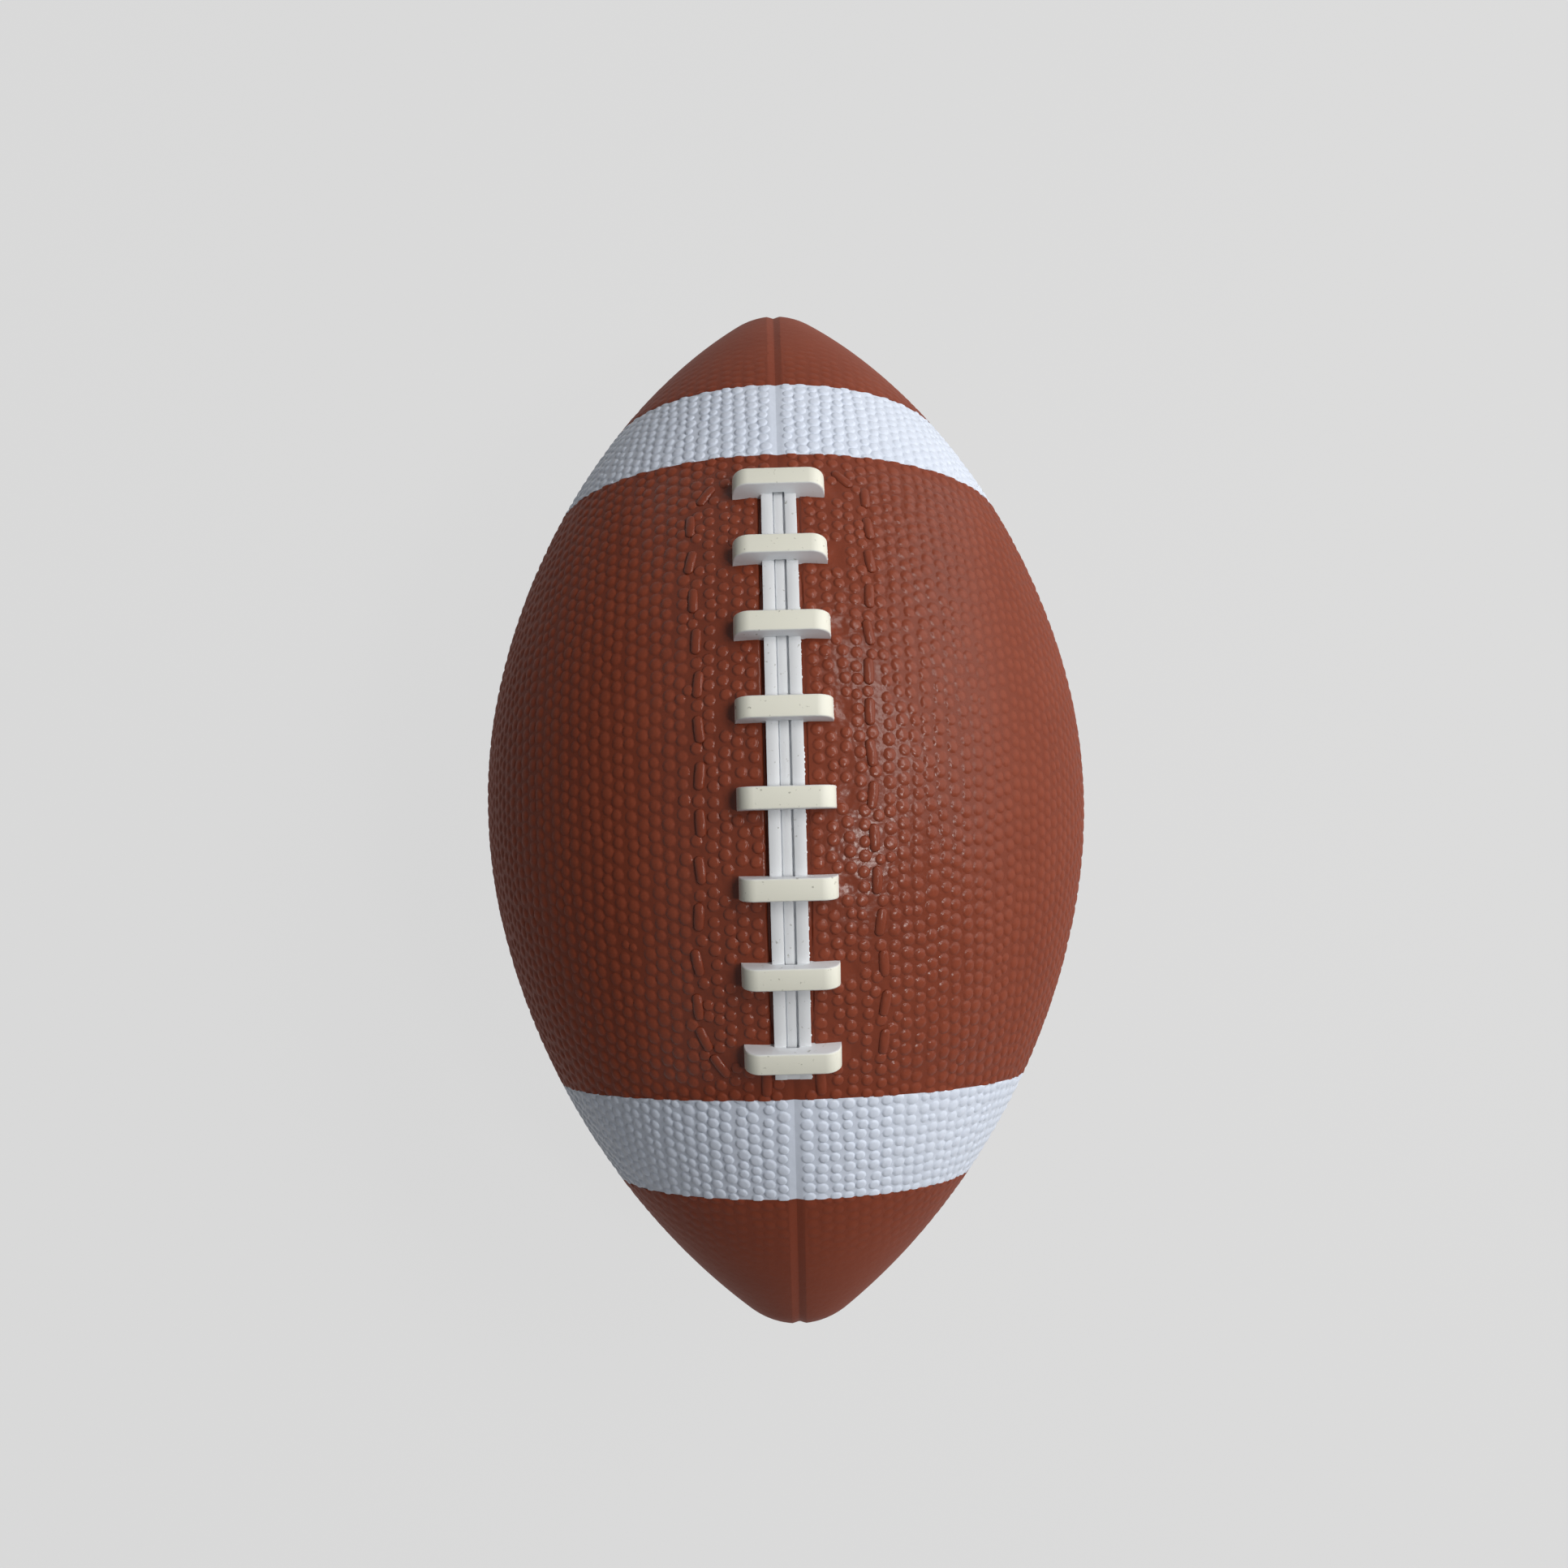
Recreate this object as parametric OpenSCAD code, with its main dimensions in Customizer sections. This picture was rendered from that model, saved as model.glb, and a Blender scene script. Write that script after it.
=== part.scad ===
// American football of moulded rubber: a cover in four panels over a nylon winding and a
// bladder, with a moulded lace strip on the top seam and an inflation valve on the bottom seam.
// The long axis lies along Y, the lace faces +Z, and the origin is the centre of the ball.

/* [Ball] */
// Length from nose to nose
ball_len = 292.6; // [275:0.1:310]
// Greatest diameter, across the middle
ball_d = 170; // [150:1:190]
// Radius of each rounded nose
nose_r = 22.475; // [16:0.005:30]
// Radius of the arc that bulges at the middle of the outline
belly_arc_r = 152.1; // [130:0.1:165]
// Radius of the flatter arcs between the middle and the noses
flank_arc_r = 193.1; // [175:0.1:240]

/* [Layers] */
// Thickness of the rubber cover
cover_t = 2.2; // [1.8:0.1:3.5]
// Thickness of the rubberised nylon winding
winding_t = 0.6; // [0.4:0.1:1.5]
// Thickness of the bladder's wall
bladder_t = 0.8; // [0.6:0.1:2]

/* [Seams] */
// Width of the groove where two panels meet
seam_w = 3.4; // [2:0.1:5]
// Depth of the groove
seam_d = 0.5; // [0.3:0.05:0.9]

/* [Stripes] */
// Distance from a nose's tip to the far edge of the stripe beside it, along the long axis
stripe_off = 41.7; // [34:0.1:44]
// Width of a stripe, along the long axis
stripe_w = 25.6; // [18:0.1:30]
// Thickness of the white rubber that is laid into the cover
stripe_t = 1; // [0.8:0.1:1.5]

/* [Lace] */
// Number of cross bars
bar_count = 8; // [4:1:8]
// Distance from bar to bar, along the cover
bar_pitch = 20.1; // [14:0.1:20.5]
// Length of a bar, across the ball
bar_len = 22.5; // [16:0.5:25]
// Width of a bar, along the ball
bar_w = 5.2; // [4:0.1:7]
// Height of a bar above the cover
bar_h = 4.3; // [4:0.1:7]
// Radius of a bar's shoulders
shoulder_r = 4; // [2.5:0.1:4.4]
// Width of the spine that carries the bars
spine_w = 8.5; // [7:0.1:12]
// Height of the spine's two rails above the cover
rail_h = 0.6; // [0.4:0.1:2.6]
// Width of the channel between the rails
channel_w = 2.9; // [1.5:0.1:4]
// Depth of the channel below the rails
channel_d = 0.45; // [0.3:0.05:1.2]
// Height of the roof over the rails, where the channel runs on under a bar
tunnel_h = 0.5; // [0.3:0.1:1]
// Length of the spine that stands out past the end bars
spine_tab = 3.3; // [0.5:0.1:4]
// Depth of the bars' ends in the cover
bar_seat = 0.4; // [0.2:0.05:0.5]
// Depth of the spine's seat below the bars' feet
spine_seat = 0.3; // [0.2:0.05:0.4]

/* [Valve] */
// Diameter of the valve's stem, where it passes through the layers
stem_d = 10; // [9:0.1:14]
// Diameter of the flange that is bonded inside the bladder
flange_d = 26; // [20:1:36]
// Thickness of that flange
flange_t = 1.8; // [1:0.1:3]
// Depth of the valve's inner end below the cover's surface
valve_depth = 18; // [15:0.5:24]
// Depth of the valve's face below the cover's surface
valve_recess = 0.4; // [0.2:0.1:0.8]
// Diameter of the plug's neck
plug_d = 4.6; // [4:0.1:5]
// Diameter of the plug's head and of its retaining bulb
plug_head_d = 6.6; // [6:0.1:7.5]
// Height of the plug's head, and of the bulb
plug_head_h = 2.4; // [1.5:0.1:3]
// Radius of the inflation needle, and so of the hole in the plug
needle_r = 1; // [0.8:0.05:1.3]
// Depth of the flared mouth that guides the needle
mouth_d = 0.8; // [0.4:0.1:1.2]

/* [Hidden] */
$fn = 180;
// Room that a cutting shape has past the surface that it cuts
past = 1;
// Turn from one seam to the next about the long axis, and the turns of two of the seams
quarter = 360 / 4;
top_seam = 0;
right_seam = quarter;

// Outline: points are [distance from the long axis, distance along it], and a slope is the angle
// by which the cover leans towards a nose. The flank's centre lies where its arc runs smoothly
// into both its neighbours.
half_len = ball_len / 2;
ball_r = ball_d / 2;
belly_c = [ball_r - belly_arc_r, 0];
nose_c = [0, half_len - nose_r];
to_belly = flank_arc_r - belly_arc_r;
to_nose = flank_arc_r - nose_r;
apart = nose_c - belly_c;
apart_len = norm(apart);
apart_foot = (apart_len ^ 2 + to_belly ^ 2 - to_nose ^ 2) / (2 * apart_len);
apart_off = sqrt(to_belly ^ 2 - apart_foot ^ 2);
flank_c = belly_c + (apart_foot * apart + apart_off * [-apart[1], apart[0]]) / apart_len;
belly_slope = atan2(-flank_c[1], belly_c[0] - flank_c[0]);
nose_slope = atan2(nose_c[1] - flank_c[1], -flank_c[0]);

// Distance from the middle of the ball to the near edge of a stripe
stripe_start = half_len - stripe_off - stripe_w;

winding_depth = cover_t + winding_t;
bladder_depth = winding_depth + bladder_t;
belly_reach = belly_arc_r * belly_slope * PI / 180;
// Width of a half outline that takes in all that stands on the cover
beyond = ball_r + bar_h + past;

// Distances along the cover from the middle of the ball to the end bars and to the spine's ends
lace_half = (bar_count - 1) / 2 * bar_pitch;
spine_half = lace_half + bar_w / 2 + spine_tab;
spine_sink = bar_foot(lace_half) + spine_seat;

valve_face = valve_recess - ball_r;
valve_end = valve_depth - ball_r;

// Angle of a length along an arc
function degrees(along, radius) = along / radius * 180 / PI;

// Direction out of the cover at a slope
function out(slope) = [cos(slope), sin(slope)];

// Slope of the cover and its point at a distance from the middle, measured along the cover
function slope_at(along) =
    along < belly_reach ? degrees(along, belly_arc_r)
    : belly_slope + degrees(along - belly_reach, flank_arc_r);
function point_at(along) =
    along < belly_reach ? belly_c + belly_arc_r * out(slope_at(along))
    : flank_c + flank_arc_r * out(slope_at(along));

// Depth of a bar's foot, which takes both ends of the bar into the round of the cover
function bar_foot(along) =
    let (round_r = point_at(along)[0])
    bar_seat + round_r - sqrt(round_r ^ 2 - bar_len ^ 2 / 4);

// Piece of a disc between two distances along the long axis
module slice(centre, radius, low, high) {
    intersection() {
        translate(centre) circle(r = radius);
        polygon([[0, low], [beyond, low], [beyond, high], [0, high]]);
    }
}

// Half of the ball's outline, a depth below the cover's surface
module outline(depth) {
    belly_end = (belly_arc_r - depth) * sin(belly_slope);
    flank_end = nose_c[1] + (nose_r - depth) * sin(nose_slope);
    slice(belly_c, belly_arc_r - depth, -belly_end, belly_end);
    for (end = [0, 1]) mirror([0, end]) {
        slice(flank_c, flank_arc_r - depth, belly_end, flank_end);
        slice(nose_c, nose_r - depth, flank_end, half_len);
    }
}

module layer(depth, thickness) {
    difference() {
        outline(depth);
        outline(depth + thickness);
    }
}

// Turns a half outline about the long axis: 0 is the right side and -90 the top
module turn(from = 0, angle = 360) {
    rotate([-90, 0, 0]) rotate([0, 0, from]) rotate_extrude(angle = angle) children();
}

// Groove of one seam
module seam_groove(at) {
    rotate([0, at, 0]) difference() {
        translate([-seam_w / 2, -half_len - past, 0]) cube([seam_w, ball_len + 2 * past, ball_r + past]);
        turn() outline(seam_d);
    }
}

// Plate that stands on edge along the top seam and follows the cover, from a height above its
// surface to a depth below it, and as far from the middle as a distance along the cover
module seam_plate(width, height, depth, reach) {
    end_out = out(slope_at(reach));
    end_low = point_at(reach) - (depth + past) * end_out;
    end_high = point_at(reach) + (height + past) * end_out;
    end = [end_low, end_high, [beyond, end_high[1]]];
    rotate([0, -90, 0]) linear_extrude(width, center = true) intersection() {
        layer(-height, height + depth);
        polygon([for (p = end) p, for (i = [2:-1:0]) [end[i][0], -end[i][1]]]);
    }
}

// Stands a shape on the top seam at a distance from the middle, with its z out of the cover
module on_seam(along) {
    point = point_at(abs(along));
    mirror([0, along < 0 ? 1 : 0, 0]) translate([0, point[1], point[0]])
        rotate([-slope_at(abs(along)), 0, 0]) children();
}

// Section of a lace bar: round shoulders over a square foot
module bar_section(foot) {
    flat = bar_len / 2 - shoulder_r;
    translate([-bar_len / 2, -foot]) square([bar_len, foot + bar_h - shoulder_r]);
    translate([-flat, -foot]) square([2 * flat, foot + bar_h]);
    for (end = [-1, 1]) intersection() {
        translate([end * flat, bar_h - shoulder_r]) circle(r = shoulder_r);
        translate([-bar_len / 2, -foot]) square([bar_len, foot + bar_h]);
    }
}

// Outer form of the lace strip, down to its seat in the cover
module lace_block() {
    seam_plate(spine_w, rail_h, spine_sink, spine_half);
    for (i = [0:bar_count - 1]) let (along = lace_half - i * bar_pitch) on_seam(along)
        rotate([90, 0, 0]) linear_extrude(bar_w, center = true) bar_section(bar_foot(abs(along)));
}

// The channel between the rails runs on under the bars, from the first to the last
module lace_strip() {
    color("#e3e5e1") difference() {
        lace_block();
        seam_plate(channel_w, rail_h + tunnel_h, channel_d - rail_h, lace_half);
    }
}

// Section of a stripe: end 1 is the head end and -1 the tail end
module stripe_section(end) {
    intersection() {
        layer(0, stripe_t);
        translate([0, end > 0 ? stripe_start : -stripe_start - stripe_w]) square([ball_r, stripe_w]);
    }
}

// Takes the grooves of the two seams beside a panel off it: seam is the first of them
module trim_to_seams(seam) {
    difference() {
        children();
        seam_groove(seam);
        seam_groove(seam + quarter);
    }
}

// Right panels and stripes: the left ones are their mirror images
module upper_panel() {
    color("#8c3d27") difference() {
        trim_to_seams(top_seam) turn(top_seam - quarter, quarter) layer(0, cover_t);
        turn() stripe_section(1);
        turn() stripe_section(-1);
        lace_block();
    }
}

module lower_panel() {
    color("#8c3d27") difference() {
        trim_to_seams(right_seam) turn(right_seam - quarter, quarter) layer(0, cover_t);
        valve_hole();
    }
}

module stripe(end) {
    color("#dfe4ee") difference() {
        trim_to_seams(top_seam) turn(top_seam - quarter, quarter) stripe_section(end);
        lace_block();
    }
}

// Hole for the valve's stem, through every layer at the bottom
module valve_hole() {
    translate([0, 0, -ball_r - past]) cylinder(d = stem_d, h = valve_depth + past);
}

module nylon_winding() {
    color("#cfc3a0") difference() {
        turn() layer(cover_t, winding_t);
        valve_hole();
    }
}

module bladder() {
    color("#2b2b2e") difference() {
        turn() layer(winding_depth, bladder_t);
        valve_hole();
    }
}

// Form of the plug: a neck between the head and the retaining bulb
module plug_form() {
    translate([0, 0, valve_face]) cylinder(d = plug_head_d, h = plug_head_h);
    translate([0, 0, valve_face]) cylinder(d = plug_d, h = valve_end - valve_face);
    translate([0, 0, valve_end - plug_head_h]) cylinder(d = plug_head_d, h = plug_head_h);
}

module valve_housing() {
    color("#1d1d1f") difference() {
        union() {
            translate([0, 0, valve_face]) cylinder(d = stem_d, h = valve_end - valve_face);
            intersection() {
                translate([0, 0, -ball_r]) cylinder(d = flange_d, h = valve_depth);
                turn() layer(bladder_depth, flange_t);
            }
        }
        plug_form();
    }
}

module valve_plug() {
    color("#39393c") difference() {
        plug_form();
        translate([0, 0, -ball_r]) cylinder(r = needle_r, h = valve_depth + past);
        translate([0, 0, valve_face]) cylinder(r1 = needle_r + mouth_d, r2 = needle_r, h = mouth_d);
    }
}

mirror([1, 0, 0]) upper_panel();  // panel_upper_left
upper_panel();  // panel_upper_right
mirror([1, 0, 0]) lower_panel();  // panel_lower_left
lower_panel();  // panel_lower_right
mirror([1, 0, 0]) stripe(1);  // stripe_head_left
stripe(1);  // stripe_head_right
mirror([1, 0, 0]) stripe(-1);  // stripe_tail_left
stripe(-1);  // stripe_tail_right
lace_strip();
nylon_winding();
bladder();
valve_housing();
valve_plug();
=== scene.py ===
"""Looks of a moulded rubber American football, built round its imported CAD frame."""
import math

import bmesh
import bpy
import numpy as np
from mathutils import Matrix, Vector, kdtree


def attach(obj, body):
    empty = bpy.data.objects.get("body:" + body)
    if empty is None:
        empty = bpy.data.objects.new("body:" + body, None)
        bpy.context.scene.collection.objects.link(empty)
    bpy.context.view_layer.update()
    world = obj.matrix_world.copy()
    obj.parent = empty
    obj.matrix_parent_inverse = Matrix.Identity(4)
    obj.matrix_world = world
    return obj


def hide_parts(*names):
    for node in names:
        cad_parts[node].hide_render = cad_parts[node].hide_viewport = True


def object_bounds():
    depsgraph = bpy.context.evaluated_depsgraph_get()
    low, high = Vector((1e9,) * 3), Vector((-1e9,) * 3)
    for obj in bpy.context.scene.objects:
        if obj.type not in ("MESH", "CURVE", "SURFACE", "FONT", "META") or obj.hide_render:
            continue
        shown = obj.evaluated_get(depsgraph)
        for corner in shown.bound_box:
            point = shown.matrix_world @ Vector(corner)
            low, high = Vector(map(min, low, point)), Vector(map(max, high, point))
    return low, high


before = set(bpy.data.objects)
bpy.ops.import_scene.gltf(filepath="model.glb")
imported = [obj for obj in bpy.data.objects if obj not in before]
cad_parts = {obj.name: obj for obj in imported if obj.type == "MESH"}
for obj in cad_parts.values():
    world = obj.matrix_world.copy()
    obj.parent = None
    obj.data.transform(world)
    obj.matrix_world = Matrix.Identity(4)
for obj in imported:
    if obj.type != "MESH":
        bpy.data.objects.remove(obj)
cad_low, cad_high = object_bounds()

# Sizes of the ball are in mm, and its meshes are made in metres
MM = 0.001
QUARTER = math.pi / 2

# Outline of the ball, as in the part's source: arcs of the belly, the flanks and the noses
HALF_LEN = 146.3
BELLY_Z = -67.1
BELLY_ARC_R = 152.1
FLANK_Z = -107.1
FLANK_Y = -9.0
FLANK_ARC_R = 193.1
NOSE_R = 22.475
NOSE_Y = HALF_LEN - NOSE_R
# Slopes where one arc passes into the next, and the distances of those places along the cover
BELLY_SLOPE = math.atan2(-FLANK_Y, BELLY_Z - FLANK_Z)
NOSE_SLOPE = math.atan2(NOSE_Y - FLANK_Y, -FLANK_Z)
BELLY_REACH = BELLY_ARC_R * BELLY_SLOPE
FLANK_REACH = BELLY_REACH + FLANK_ARC_R * (NOSE_SLOPE - BELLY_SLOPE)
NOSE_REACH = FLANK_REACH + NOSE_R * (QUARTER - NOSE_SLOPE)

# Layers, stripes and valve, as in the part's source
COVER_T = 2.2
STRIPE_T = 1.0
STRIPE_OFF = 41.7
STRIPE_W = 25.6
STRIPE_START = HALF_LEN - STRIPE_OFF - STRIPE_W
STEM_D = 10.0

# Lace strip, as in the part's source
BAR_COUNT = 8
BAR_PITCH = 20.1
BAR_LEN = 22.5
BAR_W = 5.2
BAR_H = 4.3
SHOULDER_R = 4.0
SPINE_W = 8.5
RAIL_H = 0.6
CHANNEL_W = 2.9
CHANNEL_D = 0.45
TUNNEL_H = 0.5
SPINE_TAB = 3.3
LACE_HALF = (BAR_COUNT - 1) / 2 * BAR_PITCH
SPINE_HALF = LACE_HALF + BAR_W / 2 + SPINE_TAB
BARS = [LACE_HALF - i * BAR_PITCH for i in range(BAR_COUNT)]


def cover_at(along):
    """Radius, place on the long axis and slope of the cover, by the distance from the middle."""
    s = np.abs(along)
    belly = s < BELLY_REACH
    flank = s < FLANK_REACH
    slope = np.where(
        belly, s / BELLY_ARC_R,
        np.where(flank, BELLY_SLOPE + (s - BELLY_REACH) / FLANK_ARC_R,
                 NOSE_SLOPE + (s - FLANK_REACH) / NOSE_R))
    arc_r = np.where(belly, BELLY_ARC_R, np.where(flank, FLANK_ARC_R, NOSE_R))
    off_r = np.where(belly, BELLY_Z, np.where(flank, FLANK_Z, 0.0))
    off_y = np.where(belly, 0.0, np.where(flank, FLANK_Y, NOSE_Y))
    radius = off_r + arc_r * np.cos(slope)
    place = off_y + arc_r * np.sin(slope)
    side = np.sign(along)
    return np.maximum(radius, 0.0), place * side, slope * side


def along_at(place):
    """Distance from the middle along the cover, by the place on the long axis."""
    y = np.abs(place)
    belly = BELLY_ARC_R * np.arcsin(np.clip(y / BELLY_ARC_R, -1, 1))
    flank = FLANK_ARC_R * (np.arcsin(np.clip((y - FLANK_Y) / FLANK_ARC_R, -1, 1)) - BELLY_SLOPE)
    nose = NOSE_R * (np.arcsin(np.clip((y - NOSE_Y) / NOSE_R, -1, 1)) - NOSE_SLOPE)
    on_belly = y < BELLY_ARC_R * math.sin(BELLY_SLOPE)
    on_flank = y < NOSE_Y + NOSE_R * math.sin(NOSE_SLOPE)
    s = np.where(on_belly, belly, np.where(on_flank, BELLY_REACH + flank, FLANK_REACH + nose))
    return s * np.sign(place)


def on_cover(along, around):
    """Points of the cover: around is the turn from the top seam towards the right side."""
    radius, place, _ = cover_at(along)
    return np.stack([radius * np.sin(around), place, radius * np.cos(around)], -1)


def cover_axes(along, around):
    """Unit directions at points of the cover: across it, along it and out of it."""
    slope = cover_at(along)[2]
    across = np.stack([np.cos(around), np.zeros_like(slope), -np.sin(around)], -1)
    ahead = np.stack([-np.sin(slope) * np.sin(around), np.cos(slope), -np.sin(slope) * np.cos(around)], -1)
    out = np.stack([np.cos(slope) * np.sin(around), np.sin(slope), np.cos(slope) * np.cos(around)], -1)
    return across, ahead, out


def lace_place(along):
    """Radius, place and slope of the cover under the lace, as plain numbers."""
    return [float(value) for value in cover_at(np.array(along))]


def turn_of(along, across):
    """Turn about the long axis of a place at a distance from the seam."""
    return across / np.maximum(cover_at(along)[0], 1.0)


def smooth_step(low, high, value):
    """Share from 0 at low to 1 at high, with no kink at either end."""
    t = np.clip((value - low) / (high - low), 0.0, 1.0)
    return t * t * (3 - 2 * t)


STRIPE_NEAR = float(along_at(STRIPE_START))
STRIPE_FAR = float(along_at(STRIPE_START + STRIPE_W))

# Raised stitches in lines beside the lace: side, place of the first one, pitch and count
STITCH_LINES = ((1, 68.0, 9.7, 15), (-1, 60.3, 10.75, 12))
# Distance of the lines from the seam, how far they bow out, and where along the ball they do so most
STITCH_ACROSS = 19.9
STITCH_BOW = 2.2
STITCH_BOW_PLACE = 57.5
# Greatest slant in degrees, and its step in radians from one stitch to the next
STITCH_SLANT = 7
SLANT_STEP = 2.4
# Stitches that turn in round the lace's ends: place along the ball, place across it, slant in degrees
END_STITCHES = ((73.9, 16.1, -40), (69.6, -18.2, 30), (-66.0, -21.0, -18), (-73.0, -17.3, -30),
                (-77.9, -6.3, 5), (-77.9, 6.4, -5))
# Size of a stitch, and the height of its middle over the ground
STITCH_LEN = 6.6
STITCH_HALF_W = 1.3
STITCH_H = 0.6
STITCH_LIFT = 0.06

# Dimples in the cover past the bars' ends
EYELET_R = 2.2
EYELET_DEPTH = 0.25
EYELET_ACROSS = BAR_LEN / 2 + 2.6


def stitch_places():
    """Place along, place across and slant of every raised stitch."""
    places = list(END_STITCHES)
    for side, first, pitch, count in STITCH_LINES:
        for i in range(count):
            along = first - i * pitch
            across = STITCH_ACROSS + STITCH_BOW * math.sin(QUARTER * along / STITCH_BOW_PLACE) ** 4
            places.append((along, side * across, STITCH_SLANT * math.sin(SLANT_STEP * i + side)))
    return np.array(places)


def eyelet_points():
    """Middles of the dimples, a pair to each bar."""
    along = np.repeat(BARS, 2)
    across = np.tile([-EYELET_ACROSS, EYELET_ACROSS], BAR_COUNT)
    return on_cover(along, turn_of(along, across))


STITCHES = stitch_places()
EYELETS = eyelet_points()

# Moulded grain: pebbles that reach up to the cover's outline, on a ground that lies below it
GRAIN_DEPTH = 0.42
# Shares of that depth that are lost towards the sides, more on the worn right panel, and where
WORN_LOSS = 0.2
SIDE_LOSS = 0.1
LOSS_FROM = 18.0
WORN_LOSS_TO = 36.0
SIDE_LOSS_TO = 44.0
# Depth beside the stripes on the tips, which fades to nothing over a length, and the step to it
TIP_GRAIN = 0.16
TIP_FADE = 36.0
TIP_STEP = 1.0
# Crease where two panels meet: half its width, the width of its edges, its depth, share of the grain's
# depth at its edges, and the rounding at its bottom
SEAM_HALF = 1.9
SEAM_EDGE = 1.0
SEAM_DEPTH = 0.62
SEAM_BAND_SHARE = 0.75
SEAM_ROUND = 0.12
# Gutter beside the lace's spine, and the depth of the bed under it
GUTTER_W = 1.0
GUTTER_DEPTH = 0.5
LACE_BED = 1.2
LACE_BED_MARGIN = 0.3


def grain_depth(points, along):
    """Depth of the ground between the pebbles: less far from the lace, and least on the tips."""
    across = np.arctan2(np.abs(points[:, 0]), np.abs(points[:, 2])) * np.hypot(points[:, 0], points[:, 2])
    worn = (points[:, 0] > 0) & (points[:, 2] > 0)
    lost = np.where(worn, WORN_LOSS * smooth_step(LOSS_FROM, WORN_LOSS_TO, across),
                    SIDE_LOSS * smooth_step(LOSS_FROM, SIDE_LOSS_TO, across))
    field = GRAIN_DEPTH * (1 - lost)
    reach = np.abs(along)
    tip = smooth_step(STRIPE_FAR - TIP_STEP, STRIPE_FAR + 2 * TIP_STEP, reach)
    worn_tip = TIP_GRAIN * (1 - smooth_step(STRIPE_FAR, STRIPE_FAR + TIP_FADE, reach))
    return field + (worn_tip - field) * tip


def ground_level(points, along):
    """Height of the cover's ground over its outline: grain, seams, bed of the lace and eyelets."""
    depth = grain_depth(points, along)
    height = -depth
    edge = SEAM_BAND_SHARE * depth
    for distance in (np.abs(points[:, 0]), np.abs(points[:, 2])):
        band = 1 - smooth_step(SEAM_HALF, SEAM_HALF + SEAM_EDGE, distance)
        slant = np.hypot(distance, SEAM_ROUND) - SEAM_ROUND
        slant = slant / (math.hypot(SEAM_HALF, SEAM_ROUND) - SEAM_ROUND)
        groove = -edge - (SEAM_DEPTH - edge) * np.clip(1 - slant, 0.0, 1.0)
        height = height * (1 - band) + groove * band
    above = points[:, 2] > 0
    beside = np.abs(np.abs(points[:, 0]) - SPINE_W / 2 - GUTTER_W / 2)
    gutter = (1 - smooth_step(0.3 * GUTTER_W, 0.6 * GUTTER_W, beside)) * above
    height = height - GUTTER_DEPTH * gutter * (np.abs(along) < SPINE_HALF)
    covered = (np.abs(points[:, 0]) < SPINE_W / 2) & (np.abs(along) < SPINE_HALF - LACE_BED_MARGIN)
    height[covered & above] = -LACE_BED
    for eyelet in EYELETS:
        inside = 1 - smooth_step(0.4 * EYELET_R, EYELET_R, np.linalg.norm(points - eyelet, axis=1))
        height = height - EYELET_DEPTH * inside
    return height


# Room that a pebble's middle keeps from stitches, spine, bars, eyelets, valve and seams
STITCH_GAP = 0.95
SPINE_GAP = 2.2
SPINE_END_GAP = 1.4
BAR_GAP = 1.2
EYELET_GAP = 0.7
VALVE_GAP = 1.0
SEAM_GAP = 3.2
# A pebble's middle may lie this little past its field's end, where the pebble is cut off
OVERHANG = 0.9
# Smooth pad round the valve
VALVE_PAD_R = 9.0

# Rows of pebbles: first column, columns' spacing, pitch in a column, shares of a pitch by which every
# second column and any column is shifted, and share by which each pebble strays
COVER_ROWS = (3.7, 3.4, 3.4, 0.5, 0.5, 0.1)
BRICK_STRIPE_ROWS = (3.1, 3.3, 3.15, 0.5, 0.15, 0.1)
PLAIN_STRIPE_ROWS = (3.1, 3.3, 3.15, 0.0, 0.25, 0.1)
# Columns wave slightly, and they go on past the widest panel's edge
WAVE_LEN = 8.0
WAVE_SHARE = 0.1
COLUMNS_END = 200.0
# Fields of pebbles, by their ends along the ball
UPPER_FIELD = (-STRIPE_NEAR, STRIPE_NEAR)
LOWER_FIELD = (-STRIPE_FAR, STRIPE_FAR)
TIP_FIELDS = ((STRIPE_FAR, STRIPE_FAR + TIP_FADE), (-STRIPE_FAR - TIP_FADE, -STRIPE_FAR))
# Small pebbles that fill bare ground beside the lace: gap that one needs, search step, margin and reach
FILL_GAP = 2.75
FILL_STEP = 0.7
FILL_MARGIN = 1.0
FILL_REACH = 28.0


def clear_of_stitches(along, across):
    """True where a pebble has room beside the stitches."""
    clear = np.ones(len(along), bool)
    half = STITCH_LEN / 2 - STITCH_HALF_W
    for place, aside, slant in STITCHES:
        lean = math.radians(slant)
        ahead = (along - place) * math.cos(lean) + (across - aside) * math.sin(lean)
        sideways = (across - aside) * math.cos(lean) - (along - place) * math.sin(lean)
        gap = np.hypot(np.maximum(np.abs(ahead) - half, 0), sideways)
        clear &= gap > STITCH_HALF_W + STITCH_GAP
    return clear


def clear_of_lace(along, across):
    """True where a pebble has room beside the lace's spine, bars and eyelets."""
    away = np.abs(across)
    clear = (np.abs(along) > SPINE_HALF + SPINE_END_GAP) | (away > SPINE_W / 2 + SPINE_GAP)
    for bar in BARS:
        clear &= (np.abs(along - bar) > BAR_W / 2 + BAR_GAP) | (away > BAR_LEN / 2 + BAR_GAP)
        clear &= np.hypot(along - bar, away - EYELET_ACROSS) > EYELET_R + EYELET_GAP
    return clear


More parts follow.
